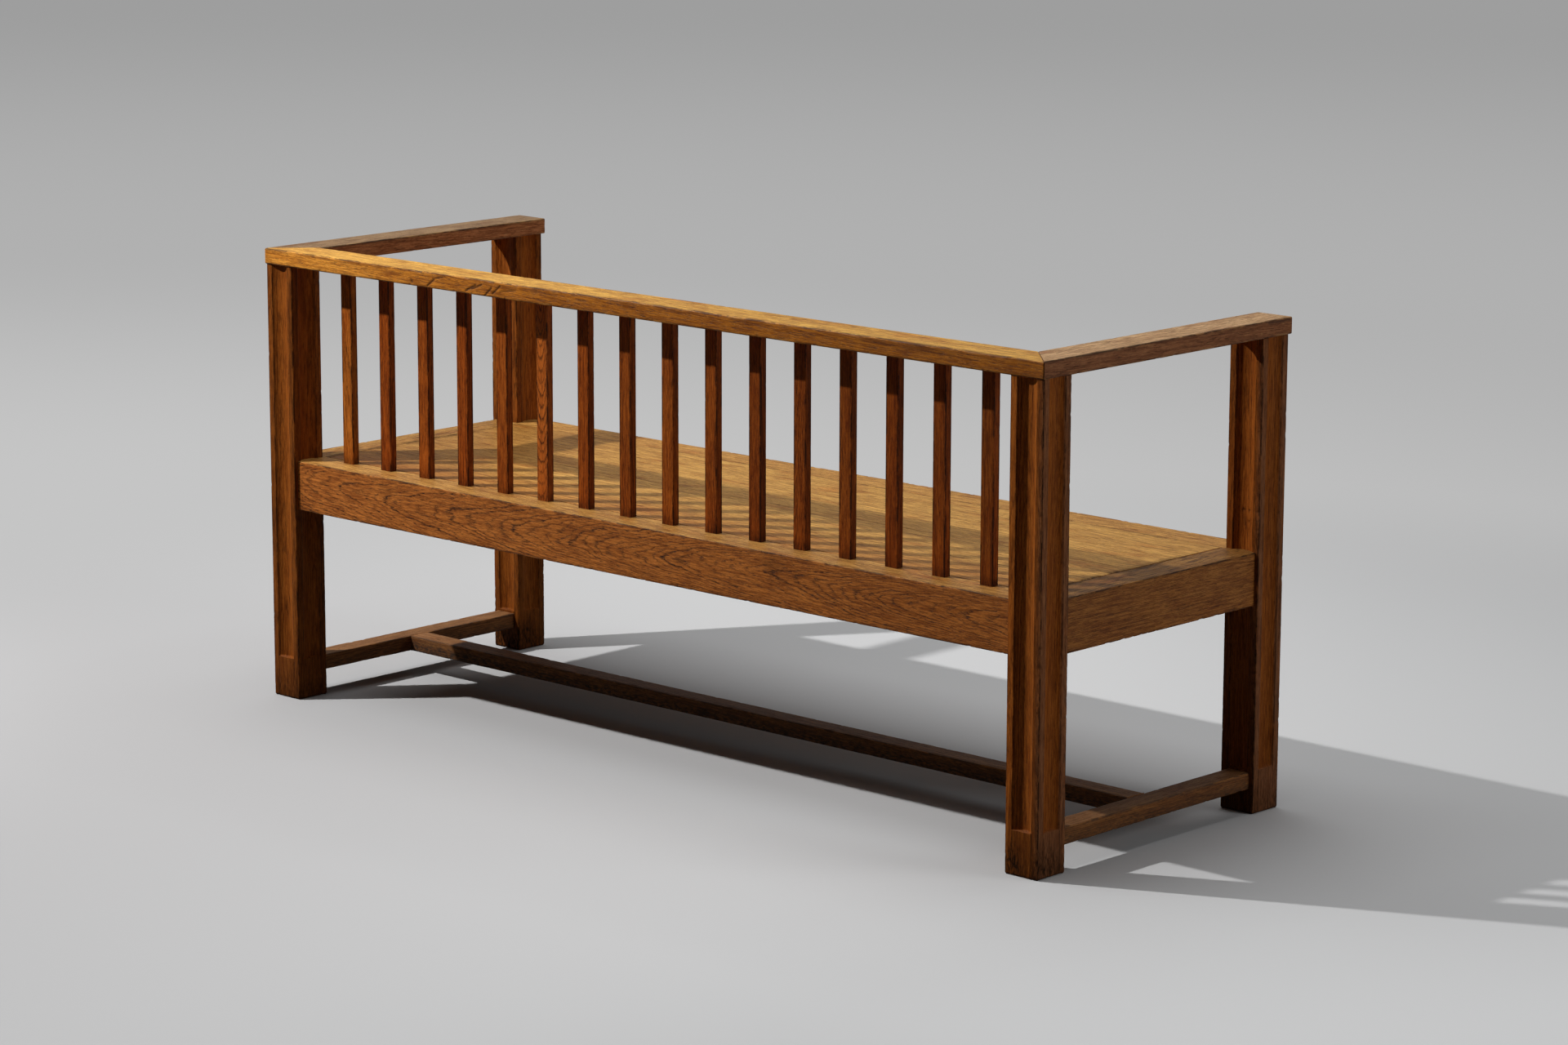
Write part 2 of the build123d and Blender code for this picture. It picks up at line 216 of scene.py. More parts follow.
def makeSkinGroup(spec):
    inputs = {"Wood": "Vector", **dict.fromkeys(drawnMasks + meshMasks + depthNames, "Float"),
              **dict.fromkeys(paintNames, "Color")}
    outputs = {"Color": "Color", "Roughness": "Float", "Height": "Float"}
    tree, given, out = newGroup("oldOakSkin", inputs, outputs)
    patch, mottle, worn = [noise(tree, given["Wood"], *spec[key]) for key in ("patch", "mottle", "worn")]
    # rings, pores and rays in their colours, which are other ones where the finish has faded
    bleached = calc(tree, "MULTIPLY", given["Bleach"], rise(tree, patch, *spec["bleachSpan"]))
    pale = blendColour(tree, bleached, given["Pale"], given["Top pale"])
    dark = blendColour(tree, bleached, given["Dark"], given["Top dark"])
    colour = blendColour(tree, calc(tree, "MULTIPLY", given["Rings"], given["Ring depth"]), pale, dark)
    colour = blendColour(tree, calc(tree, "MULTIPLY", given["Pores"], given["Pore depth"]), colour, dark)
    flecked = calc(tree, "MULTIPLY", given["Flecks"], spec["fleckShare"])
    colour = blendColour(tree, flecked, colour, given["Rubbed"])
    # slow and fine streaks along the grain and broad patches, where what is darker is also redder
    level = swayed(tree, 1.0, given["Streaks"], given["Streak depth"])
    level = swayed(tree, level, given["Fine"], given["Fine depth"])
    level = swayed(tree, level, mottle, spec["mottleDepth"])
    level = swayed(tree, level, patch, spec["patchDepth"])
    level = calc(tree, "MAXIMUM", level, spec["darkest"])
    green, blue = [calc(tree, "POWER", level, spec[key]) for key in ("greenPower", "bluePower")]
    shaded = addNode(tree, "CombineXYZ", {0: level, 1: green, 2: blue}).outputs[0]
    # then the piece's own tone: the colour times 1 + tone
    toned = calc(tree, "ADD", given["Tone"], 1.0)
    shaded = addNode(tree, "VectorMath", {0: shaded, "Scale": toned}, operation="SCALE").outputs[0]
    colour = blendColour(tree, 1.0, colour, shaded, "MULTIPLY")
    # an arris is rubbed pale in places and holds dirt in others
    rub = calc(tree, "MULTIPLY", given["Arris"], given["Rub"])
    rubbed = calc(tree, "MULTIPLY", rub, rise(tree, worn, *spec["rubSpan"]))
    colour = blendColour(tree, rubbed, colour, given["Rubbed"])
    soil = calc(tree, "MULTIPLY", rise(tree, worn, *spec["soilSpan"]), spec["soilShare"])
    soiled = calc(tree, "MULTIPLY", calc(tree, "POWER", given["Arris"], spec["soilPower"]), soil)
    chipped = calc(tree, "MAXIMUM", soiled, calc(tree, "MULTIPLY", given["Chip"], spec["chipShare"]))
    colour = blendColour(tree, chipped, colour, given["Dirt"])
    uneven = atLeast(tree, rise(tree, mottle, *spec["dirtSpan"]), spec["dirtLeast"])
    dirty = calc(tree, "MULTIPLY", given["Grime"], uneven)
    rough = swayed(tree, given["Gloss"], mottle, spec["mottleRough"])
    rough = calc(tree, "MULTIPLY_ADD", given["Pores"], spec["poreRough"], rough)
    height = calc(tree, "MULTIPLY", given["Rings"], spec["ringHeight"])
    height = calc(tree, "MULTIPLY_ADD", given["Pores"], spec["poreHeight"], height)
    return giveOut(tree, out, {
        "Color": blendColour(tree, dirty, colour, given["Dirt"]),
        "Roughness": calc(tree, "MULTIPLY_ADD", dirty, spec["dirtRough"], rough),
        "Height": calc(tree, "MULTIPLY_ADD", mottle, spec["mottleHeight"], height),
    })


oakFigure, oldOakSkin = makeFigureGroup(figureWork), makeSkinGroup(skinWork)

# finishes, one for each material slot, where they differ from the plain one; colours as they look on a screen
plainOak = {"Dirt": (24, 12, 3), "Waver": 8.0, "Jag": 1.6, "Ring depth": 0.6, "Streak depth": 0.75, "Gloss": 0.5,
            "Specular": 0.13, "bump": 0.5, "bumpDistance": 0.0006}
finishes = {
    "oak_post": {
        # on the posts the top colours serve as the painted grey sheen on the near end's outer faces
        "Pale": (152, 82, 27), "Dark": (46, 19, 4), "Top pale": (161, 106, 71), "Top dark": (98, 60, 37),
        "Rubbed": (160, 92, 38), "Dirt": (26, 13, 3), "Ring gap": 2.1, "Waver": 9.0, "Ring depth": 0.55,
        "Pore depth": 0.5, "Fine depth": 0.5, "Streak depth": 0.45, "Rub": 0.45, "Specular": 0.06},
    "oak_top_rail": {
        "Pale": (191, 112, 31), "Dark": (46, 20, 3), "Top pale": (215, 159, 69), "Top dark": (162, 107, 40),
        "Rubbed": (214, 155, 72), "Dirt": (32, 15, 4), "Ring gap": 2.0, "Jag": 1.4, "Pore depth": 0.85,
        "Fine depth": 0.65, "Rub": 0.6, "Gloss": 0.45},
    "oak_arm": {
        "Pale": (160, 100, 60), "Dark": (48, 24, 10), "Top pale": (190, 149, 106), "Top dark": (112, 80, 46),
        "Rubbed": (192, 148, 92), "Dirt": (30, 17, 7), "Ring gap": 1.8, "Pore depth": 0.8, "Fine depth": 0.55,
        "Rub": 0.6},
    "oak_slat": {
        "Pale": (162, 76, 20), "Dark": (44, 16, 3), "Top pale": (162, 100, 36), "Top dark": (58, 28, 7),
        "Rubbed": (166, 88, 30), "Ring gap": 2.6, "Waver": 6.0, "Pore depth": 0.65, "Fine depth": 0.6,
        "Rub": 0.35, "Specular": 0.07},
    "oak_slat_figured": {
        "Pale": (190, 98, 32), "Dark": (46, 17, 3), "Top pale": (190, 98, 32), "Top dark": (46, 17, 3),
        "Rubbed": (190, 110, 44), "Ring gap": 1.9, "Waver": 5.0, "Jag": 1.8, "Ring depth": 1.0,
        "Pore depth": 0.4, "Fine depth": 0.35, "Rub": 0.35, "Specular": 0.1},
    "oak_seat_rail": {
        "Pale": (186, 108, 45), "Dark": (28, 11, 3), "Top pale": (196, 142, 72), "Top dark": (108, 64, 24),
        "Rubbed": (190, 124, 58), "Ring gap": 1.7, "Waver": 13.0, "Jag": 2.0, "Ring depth": 1.0,
        "Pore depth": 0.75, "Fine depth": 0.6, "Rub": 0.4},
    "oak_seat_board": {
        "Pale": (188, 118, 50), "Dark": (92, 46, 13), "Top pale": (202, 150, 76), "Top dark": (92, 52, 16),
        "Rubbed": (204, 150, 82), "Dirt": (36, 19, 7), "Ring gap": 2.4, "Waver": 10.0, "Ring depth": 0.45,
        "Pore depth": 0.7, "Fine depth": 0.5, "Rub": 0.3},
    "oak_stretcher": {
        "Pale": (152, 94, 44), "Dark": (60, 31, 11), "Top pale": (158, 108, 64), "Top dark": (74, 44, 22),
        "Rubbed": (184, 122, 64), "Dirt": (58, 47, 40), "Ring gap": 2.4, "Jag": 1.5, "Pore depth": 0.7,
        "Fine depth": 0.5, "Rub": 0.6, "Gloss": 0.55, "Specular": 0.15},
    "oak_inside": {
        "Pale": (186, 148, 100), "Dark": (138, 98, 58), "Top pale": (186, 148, 100), "Top dark": (138, 98, 58),
        "Rubbed": (196, 160, 112), "Dirt": (92, 66, 40), "Ring gap": 2.8, "Jag": 1.0, "Ring depth": 0.5,
        "Pore depth": 0.4, "Fine depth": 0.3, "Rub": 0.2, "Gloss": 0.7, "Specular": 0.15,
        # place of the CAD's own pieces in the log
        "cadLog": {"Location": (60, 20, 80), "Scale": (1000, 1000, 1000)}},
}


def makeOak(name, ownFinish):
    # new pieces carry their place in the log as an attribute, the CAD's own read it from Object coordinates
    finish = {**plainOak, **ownFinish}
    material = bpy.data.materials.new(name)
    material.use_nodes = True
    tree = material.node_tree
    shader = tree.nodes["Principled BSDF"]

    def carried(mask, output):
        return addNode(tree, "Attribute", attribute_name=mask.lower()).outputs[output]

    if "cadLog" in finish:
        place = addNode(tree, "TexCoord").outputs["Object"]
        wood = addNode(tree, "Mapping", {"Vector": place, **finish["cadLog"]}).outputs[0]
        felt = dict.fromkeys(meshMasks, 0.0)
    else:
        wood = carried("Wood", "Vector")
        felt = {key: carried(key, "Fac") for key in meshMasks}
    inputs = {"Wood": wood, **{key: finish[key] for key in logNumbers}}
    figure = addNode(tree, "Group", inputs, node_tree=oakFigure).outputs
    inputs = {"Wood": wood, **{key: figure[key] for key in drawnMasks}, **felt,
              **{key: linear(*finish[key]) for key in paintNames}, **{key: finish[key] for key in depthNames}}
    skin = addNode(tree, "Group", inputs, node_tree=oldOakSkin).outputs
    tree.links.new(skin["Color"], shader.inputs["Base Color"])
    tree.links.new(skin["Roughness"], shader.inputs["Roughness"])
    shader.inputs["Specular IOR Level"].default_value = finish["Specular"]
    inputs = {"Strength": finish["bump"], "Distance": finish["bumpDistance"], "Height": skin["Height"]}
    tree.links.new(addNode(tree, "Bump", inputs).outputs[0], shader.inputs["Normal"])
    return material


oak = {name: makeOak(name, ownFinish) for name, ownFinish in finishes.items()}
print("finishes made:", ", ".join(oak))


# shapes, in millimetres until the mesh is made
shapeWork = {
    "arcTurns": (22.5, 45.0, 67.5), "capRings": (0.35, 0.7), "clearOfRound": 1, "cornerRows": (1.2, 3.2),
    "arrisReach": 3.2, "lipRows": (-0.5, 0, 0.5, 2), "lipReach": 2.0, "lipShare": 0.8, "flatStep": 12,
    "lattice": 32, "logLength": 2500.0, "logs": 89, "upGain": 2, "upFrom": 0.8,
}
wearWork = {"waveCell": 70.0, "roughCell": 23.0, "fineCell": 6.0, "roughShares": (0.6, 0.25, 0.15),
            "chipCell": 7.0, "chipRise": 0.25, "nickDepth": 0.9}


def evenly(low, high, step):
    # places from low to high, about a step apart
    return np.linspace(low, high, max(2, int(round((high - low) / step)) + 1))


def bell(distance, reach):
    # exp of minus (distance / reach)^2
    return np.exp(-((distance / reach) ** 2))


def slide(place, low, high):
    # 0 at low, 1 at high, smooth between: 3s^2 - 2s^3
    share = np.clip((place - low) / (high - low), 0, 1)
    return share * share * (3 - 2 * share)


def softNoise(points, cell, seed):
    # value noise: random heights on a lattice, blended with 3s^2 - 2s^3 along each axis, from -1 to 1
    size = shapeWork["lattice"]
    table = np.random.default_rng(seed).uniform(-1, 1, (size, size, size))
    place = points / cell
    low = np.floor(place).astype(int)
    share = place - low
    share = share * share * (3 - 2 * share)
    height = np.zeros(points.shape[:-1])
    for corner in np.ndindex(2, 2, 2):
        weight = np.where(corner, share, 1 - share).prod(axis=-1)
        height += weight * table[tuple(np.moveaxis((low + corner) % size, -1, 0))]
    return height


def joinRuns(runs):
    # one outline from runs of points and their normals
    return np.concatenate([points for points, _ in runs]), np.concatenate([normals for _, normals in runs])


def straightRun(points, normal):
    return np.asarray(points, float), np.tile(normal, (len(points), 1)).astype(float)


def arcRun(centre, radius, angle):
    # the inner points of a quarter circle that starts at an angle in degrees
    turn = np.radians(angle + np.array(shapeWork["arcTurns"]))
    around = np.stack([np.cos(turn), np.sin(turn)], axis=1)
    return np.asarray(centre) + radius * around, around


def boxSection(halfA, halfB, radius, step, marksA=(), marksB=()):
    # a rectangle with quarter circles at its corners, anticlockwise, with more points near the corners
    flatA, flatB = halfA - radius, halfB - radius
    near = np.array(shapeWork["cornerRows"])
    a = np.unique(np.concatenate([evenly(-flatA, flatA, step), flatA - near, near - flatA, marksA]))
    b = np.unique(np.concatenate([evenly(-flatB, flatB, step), flatB - near, near - flatB, marksB]))
    points, normals = joinRuns([
        straightRun(np.stack([a[::-1], np.full(a.size, halfB)], 1), (0, 1)),
        arcRun((-flatA, flatB), radius, 90),
        straightRun(np.stack([np.full(b.size, -halfA), b[::-1]], 1), (-1, 0)),
        arcRun((-flatA, -flatB), radius, 180),
        straightRun(np.stack([a, np.full(a.size, -halfB)], 1), (0, -1)),
        arcRun((flatA, -flatB), radius, 270),
        straightRun(np.stack([np.full(b.size, halfA), b], 1), (1, 0)),
        arcRun((flatA, flatB), radius, 0),
    ])
    corner = np.hypot(halfA - np.abs(points[:, 0]), halfB - np.abs(points[:, 1]))
    arris = bell(corner, shapeWork["arrisReach"])
    return {"points": points, "normals": normals, "arris": arris, "cut": np.zeros_like(points)}


def fluteDepth(across, flute):
    # how deep a flute is at a distance from its middle: a circle through both lips and the bottom
    radius = (flute["half"] ** 2 + flute["depth"] ** 2) / (2 * flute["depth"])
    inside = np.clip(radius**2 - across**2, 0, None)
    return np.where(np.abs(across) < flute["half"], np.sqrt(inside) - radius + flute["depth"], 0)


def flutedSection(half, radius, flute, step):
    # a rounded square: one face and one corner, turned four times; cut is how far a point goes back in a flute
    flat = half - radius
    lip = flute["half"] + np.array(shapeWork["lipRows"])
    places = [evenly(-flute["half"], flute["half"], step), lip, -lip, flat - np.array(shapeWork["cornerRows"]),
              evenly(-flat, flat, shapeWork["flatStep"])]
    a = np.unique(np.round(np.concatenate(places), 3))[::-1]
    face, normals = joinRuns([straightRun(np.stack([a, np.full(a.size, half)], 1), (0, 1)),
                              arcRun((-flat, flat), radius, 90)])
    deep = np.concatenate([fluteDepth(a, flute), np.zeros(len(shapeWork["arcTurns"]))])
    cut = np.stack([np.zeros_like(deep), deep], axis=1)
    corner = np.hypot(half - np.abs(face[:, 0]), half - np.abs(face[:, 1]))
    lipArris = shapeWork["lipShare"] * bell(np.abs(face[:, 0]) - flute["half"], shapeWork["lipReach"])
    arris = np.maximum(bell(corner, shapeWork["arrisReach"]), lipArris)
    turns = [np.array([[math.cos(t), math.sin(t)], [-math.sin(t), math.cos(t)]])
             for t in np.radians([0, 90, 180, 270])]
    return {"points": np.concatenate([face @ turn for turn in turns]),
            "normals": np.concatenate([normals @ turn for turn in turns]),
            "cut": np.concatenate([cut @ turn for turn in turns]), "arris": np.tile(arris, 4)}


def rowsAlong(length, rounds, step, marks):
    # rows of a stick: cap rings, a quarter circle, the length, a quarter circle, cap rings
    caps = np.array(shapeWork["capRings"])
    quarter = np.radians([90, *shapeWork["arcTurns"][::-1], 0])
    clear = shapeWork["clearOfRound"]
    body = np.unique(np.concatenate([evenly(rounds[0] + clear, length - rounds[1] - clear, step), marks]))
    tilt = np.concatenate([-np.ones(caps.size), -np.sin(quarter), np.zeros(body.size),
                           np.sin(quarter[::-1]), np.ones(caps.size)])
    curve = np.sqrt(1 - tilt**2)
    turned = caps.size + quarter.size
    first, last = np.arange(tilt.size) < turned, np.arange(tilt.size) >= tilt.size - turned
    radius = np.where(first, rounds[0], np.where(last, rounds[1], 0))
    return {
        "tilt": tilt,
        "share": np.concatenate([np.zeros(turned), body / length, np.ones(turned)]),
        "shift": np.where(first, radius * (1 + tilt), 0) - np.where(last, radius * (1 - tilt), 0),
        "inset": radius * (1 - curve),
        "scale": np.concatenate([caps, np.ones(tilt.size - 2 * caps.size), caps[::-1]]),
        "fromLow": np.concatenate([np.zeros(turned), body, np.full(turned, length)]),
    }


def carry(section, centre, axis, ends, rounds, step, marks=(), openFlutes=None):
    # a section carried along an axis between two end surfaces, which may depend on the place in the section
    length = float(ends[1](*centre) - ends[0](*centre))
    rows = rowsAlong(length, rounds, step, marks)
    open_ = np.zeros(rows["share"].size) if openFlutes is None else openFlutes(rows["fromLow"])
    outline = section["points"][None] - rows["inset"][:, None, None] * section["normals"][None]
    outline = (outline - open_[:, None, None] * section["cut"][None]) * rows["scale"][:, None, None]
    a, b = centre[0] + outline[..., 0], centre[1] + outline[..., 1]
    low, high = ends[0](a, b), ends[1](a, b)
    points, normals = np.zeros((*a.shape, 3)), np.zeros((*a.shape, 3))
    points[..., axis] = low + (high - low) * rows["share"][:, None] + rows["shift"][:, None]
    points[..., (axis + 1) % 3], points[..., (axis + 2) % 3] = a, b
    curve = np.sqrt(1 - rows["tilt"] ** 2)[:, None]
    normals[..., axis] = rows["tilt"][:, None]
    normals[..., (axis + 1) % 3] = curve * section["normals"][None, :, 0]
    normals[..., (axis + 2) % 3] = curve * section["normals"][None, :, 1]
    return points, normals, rows


def nicksAt(points, nicks):
    # cuts along short straight lines, strongest on the line: exp of minus (distance / width)^2
    cut = np.zeros(points.shape[:-1])
    for start, end, width, amount in nicks:
        start, run = np.array(start, float), np.subtract(end, start).astype(float)
        along = np.clip(((points - start) @ run) / max(run @ run, 1e-9), 0, 1)
        distance = np.linalg.norm(points - start - along[..., None] * run, axis=-1)
        cut = np.maximum(cut, amount * bell(distance, width))
    return cut


def wearBack(points, normals, arris, wear, seed, nicks=()):
    # how far the surface has gone back: a slow wave everywhere, more on an arris, chips where a noise
    # passes a level, nicks; gives also how much of a chip or nick there is
    slow = 0.5 + 0.5 * softNoise(points, wearWork["waveCell"], seed)
    always, mostly, partly = wearWork["roughShares"]
    rough = always + mostly * softNoise(points, wearWork["roughCell"], seed + 1)
    rough = rough + partly * softNoise(points, wearWork["fineCell"], seed + 3)
    chipNoise = softNoise(points, wearWork["chipCell"], seed + 2)
    chips = np.clip((chipNoise - wear["chipFrom"]) / wearWork["chipRise"], 0, 1)
    cut = nicksAt(points, nicks)
    depth = wear["wave"] * slow + arris * (wear["arris"] * rough + wear["chip"] * chips)
    depth = depth + wearWork["nickDepth"] * cut
    return points - depth[..., None] * normals, np.clip(np.maximum(arris * chips, cut), 0, 1)


def closedMesh(name, points, fields, material):
    # a grid of rows closed round its section, with a fan to one point at each end
    rows, around = points.shape[:2]
    index = np.arange(rows * around).reshape(rows, around)
    following = np.roll(index, -1, axis=1)
    quads = np.stack([index[:-1], following[:-1], following[1:], index[1:]], axis=-1).reshape(-1, 4)
    poles = rows * around + np.array([0, 1])
    lowFan = np.stack([np.full(around, poles[0]), following[0], index[0]], axis=-1)
    highFan = np.stack([np.full(around, poles[1]), index[-1], following[-1]], axis=-1)
    flat = np.concatenate([points.reshape(-1, 3), points[:1].mean(axis=1), points[-1:].mean(axis=1)])
    mesh = bpy.data.meshes.new(name)
    mesh.from_pydata((flat / 1000).tolist(), [], quads.tolist() + lowFan.tolist() + highFan.tolist())
    mesh.polygons.foreach_set("use_smooth", np.ones(len(mesh.polygons), bool))
    for key, value in fields.items():
        spread = value.reshape(rows, around, -1)
        ends = [spread[:1].mean(axis=1), spread[-1:].mean(axis=1)]
        whole = np.concatenate([spread.reshape(rows * around, -1), *ends]).astype(np.float32)
        kind, slotName = ("FLOAT_VECTOR", "vector") if whole.shape[1] == 3 else ("FLOAT", "value")
        mesh.attributes.new(key, kind, "POINT").data.foreach_set(slotName, whole.ravel())
    mesh.materials.append(material)
    mesh.update()
    piece = bpy.data.objects.new(name, mesh)
    scene.collection.objects.link(piece)
    return piece


def inLog(points, axis, centre, log, seed):
    # the piece's place in its log: across from the pith, which the cut may slant away from, and along the grain
    along = points[..., axis]
    p = points[..., (axis + 1) % 3] - centre[0] - log["pith"][0] - log["slant"][0] * along
    q = points[..., (axis + 2) % 3] - centre[1] - log["pith"][1] - log["slant"][1] * along
    return np.stack([p, q, along + shapeWork["logLength"] * (seed % shapeWork["logs"])], axis=-1)


def nowhere(x, y, z):
    return np.zeros_like(x)


def spotsAt(spots):
    # soft spots of dirt: each has a middle, a reach along x, y and z, and a strength
    def strength(x, y, z):
        shares = [amount * bell(x - at[0], reach[0]) * bell(y - at[1], reach[1]) * bell(z - at[2], reach[2])
                  for at, reach, amount in spots]
        return np.sum(shares, axis=0) if shares else np.zeros_like(x)
    return strength


def topAndSides(top, onTop, onSides, span):
    # one value on the top, another on the sides, passing over within a span below the top
    return lambda x, y, z: onTop + (onSides - onTop) * slide(top - z, *span)


def makeStick(node, slot, axis, section, centre, ends, spec, log, seed, grime=nowhere, tone=nowhere, faded=1.0,
              marks=(), openFlutes=None, nicks=()):
    # a section carried between its ends and worn back; an end with a round under 1 mm sits in a joint, unworn
    points, normals, rows = carry(section, centre, axis, ends, spec["rounds"], spec["step"], marks, openFlutes)
    arris = np.tile(section["arris"], (len(points), 1)) * (rows["scale"] == 1)[:, None]
    inJoint = [spec["rounds"][0] < 1, spec["rounds"][1] < 1]
    still = np.where(rows["tilt"] < 0, inJoint[0], np.where(rows["tilt"] > 0, inJoint[1], False))
    seen = ~still[:, None]
    onEnd = (1 - rows["tilt"] ** 2)[:, None] ** 0.5 * (np.abs(rows["tilt"]) > 0)[:, None]
    arris = np.where(seen, np.maximum(arris, onEnd), 0)
    worn, chip = wearBack(points, normals * seen[..., None], arris, spec, seed, nicks)
    x, y, z = np.moveaxis(worn, -1, 0)
    onTop = faded(x, y, z) if callable(faded) else faded
    upward = np.clip(normals[..., 2] * shapeWork["upGain"] - shapeWork["upFrom"], 0, 1)
    fields = {
        "wood": inLog(worn, axis, centre, log, seed), "arris": arris * spec.get("edgeShown", 1.0), "chip": chip,
        "grime": grime(x, y, z), "tone": tone(x, y, z),
        "bleach": np.maximum(onTop * upward, spec.get("sideFaded", nowhere)(x, y, z)),
    }
    piece = closedMesh("oak_" + node, worn, fields, oak[spec.get("look", slot)])
    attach(piece, "root")
    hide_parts(node)
    return piece


def spanOf(node):
    # the low and the high corner of a node's box
    low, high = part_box(node)
    return np.array(low) * 1000, np.array(high) * 1000


def acrossOf(low, high, axis):
    # the middle and the half sizes of a box across an axis
    pair = [(axis + 1) % 3, (axis + 2) % 3]
    return tuple((low[pair] + high[pair]) / 2), tuple((high[pair] - low[pair]) / 2)


def flatEnd(value):
    # an end surface that is flat and square
    return lambda a, b: value + 0 * a


# corner posts: flutes on all four faces, square below the stop
postWork = {
    "flute": {"half": 19.0, "depth": 8.0}, "stop": 69.5, "stopRun": 0.8, "tenon": 13.0, "round": 1.5,
    "rounds": (3.6, 0.3), "step": 4.0, "sectionStep": 1.6, "wave": 0.2, "arris": 0.25, "chip": 0.7,
    "chipFrom": 0.55, "seed": 11, "slant": (0.02, -0.012),
    # rows of the mesh above the stop: round the stop itself and round the small holes
    "rowsAt": (-3, -0.4, 0.4, 3, 388, 389.5, 391, 405, 406, 407),
    "fluteTone": 0.2, "fluteSpan": (0.8, 3.0), "outerSkin": (3, 1), "stripSpan": (18, 20),
    "footGrime": ((0.5, 40), (0.25, 130)),
    "posts": {
        "post_back_left": {
            "pith": (10, -85), "tone": -0.04, "litStripPainted": 0.55, "nearEndPaintedSheen": 0.7,
            "nicks": [((-817, 286, 674), (-818, 286, 645), 1.3, 0.9)],
            "stains": [((-800, 292, 30), (18, 10, 26), 0.5), ((-848, 275, 25), (8, 26, 24), 0.4)]},
        "post_back_right": {"pith": (20, -32), "tone": -0.25},
        "post_front_left": {
            "pith": (5, -80), "tone": -0.2, "nearEndPaintedSheen": 0.7,
            "nicks": [((-813, -232, 475), (-813, -232, 475), 2.0, 1.0),
                      ((-824, -232, 475), (-824, -232, 475), 2.0, 1.0),
                      ((-824, -232, 458), (-824, -232, 458), 2.2, 1.0)]},
        "post_front_right": {
            "pith": (20, 8), "tone": -0.2,
            "stains": [((822, -224, 10), (26, 8, 17), 1.0), ((786, -240, 22), (6, 24, 26), 0.8)]},
    },
}


def makePosts(spec):
    stop, run = spec["stop"], spec["stopRun"]
    for number, (node, own) in enumerate(spec["posts"].items()):
        low, high = spanOf(node)
        centre, halves = acrossOf(low, high, 2)
        section = flutedSection(halves[0], spec["round"], spec["flute"], spec["sectionStep"])
        outerSkin = halves[0] - np.array(spec["outerSkin"])
        stained = spotsAt(own.get("stains", []))

        def tone(x, y, z):
            # the flutes are less worn than the outer faces, so they kept more of their colour;
            # on one post the key-lit strip beside a flute is made paler, as painted light
            behind = halves[0] - np.maximum(np.abs(x - centre[0]), np.abs(y - centre[1]))
            strip = own.get("litStripPainted", 0) * slide(x - centre[0], *spec["stripSpan"])
            return (own["tone"] + spec["fluteTone"] * slide(behind, *spec["fluteSpan"])
                    + strip * slide(y - centre[1], *outerSkin))

        def nearEndPaintedSheen(x, y, z):
            # painted sheen: the outer face at the near end is paler and greyer
            return own.get("nearEndPaintedSheen", 0) * slide(centre[0] - x, *outerSkin)

        def grime(x, y, z):
            # two bells that rise from the floor, and the stains
            atFoot = sum(amount * bell(z, reach) for amount, reach in spec["footGrime"])
            return np.clip(atFoot + stained(x, y, z), 0, 1)

        makeStick(node, "oak_post", 2, section, centre, (flatEnd(low[2]), flatEnd(high[2] - spec["tenon"])),
                  dict(spec, sideFaded=nearEndPaintedSheen), {"pith": own["pith"], "slant": spec["slant"]},
                  spec["seed"] + number, grime=grime, tone=tone, marks=stop + np.array(spec["rowsAt"]),
                  openFlutes=lambda along: np.clip((along - stop + run / 2) / run, 0, 1),
                  nicks=own.get("nicks", []))


makePosts(postWork)
print("posts made")

# top rail: a back piece mitred to two arms
topWork = {
    "round": 2.5, "rounds": (1.0, 1.0), "step": 3.5, "sectionStep": 5.0, "wave": 0.2, "arris": 0.25, "chip": 0.7,
    "chipFrom": 0.5, "gap": 0.283, "seed": 21, "log": {"pith": (-18, -95), "slant": (0.004, 0.02)},
    # painted light: the sides are lighter and paler towards the far end, nearer the key lamp, and darker at the
    # near end
    "farTone": 0.24, "nearTone": -0.13, "toneSpan": (150, 800), "farLitPainted": 0.3, "farLitSpan": (250, 750),
    "topSpan": (1, 4),
    # rows of the mesh on the outer face, and along its part with the nicks
    "outerRows": (-9.0, 10.0, 1.5), "nickedRows": (236, 492, 1.2),
    "nicks": [((486, 295, 751), (484, 295, 750), 2.2, 1.0), ((448, 295, 746.5), (432, 295, 758), 1.5, 1.3),
              ((435, 295, 759), (411, 295, 764), 1.2, 0.9), ((357, 295, 748), (334, 295, 759), 1.5, 1.3),
              ((343, 295, 752), (320, 295, 761), 1.4, 1.2), ((314, 295, 743), (297, 295, 758), 1.5, 1.3),
              ((295, 295, 749), (277, 295, 763), 1.4, 1.2), ((277, 295, 754), (241, 295, 760), 1.1, 0.9),
              ((476, 294, 769), (462, 295, 768), 2.0, 1.0), ((306, 294, 769), (292, 295, 768), 2.0, 1.0),
              ((-458, 294, 769), (-500, 295, 768), 1.6, 0.8), ((-560, 294, 769), (-640, 294, 769), 1.5, 0.6),
              ((-700, 294, 769), (-776, 294, 769), 1.6, 0.8)],
    "dirt": [((-620, 295, 762), (150, 8, 5), 0.35)],
    "armRounds": (2.3, 1.0), "armSlant": (0.03, 0.005), "armSeed": 23,
    "arms": {
        "arm_left": {
            "pith": (-80, 12), "tone": 0.0, "topTone": 0.1,
            "nicks": [((-849, 222, 769), (-849, 128, 769), 2.2, 1.2),
                      ((-850, -236, 766), (-850, -290, 766), 1.8, 1.0)]},
        "arm_right": {"pith": (-80, -8), "tone": 0.2, "topTone": -0.52},
    },
}


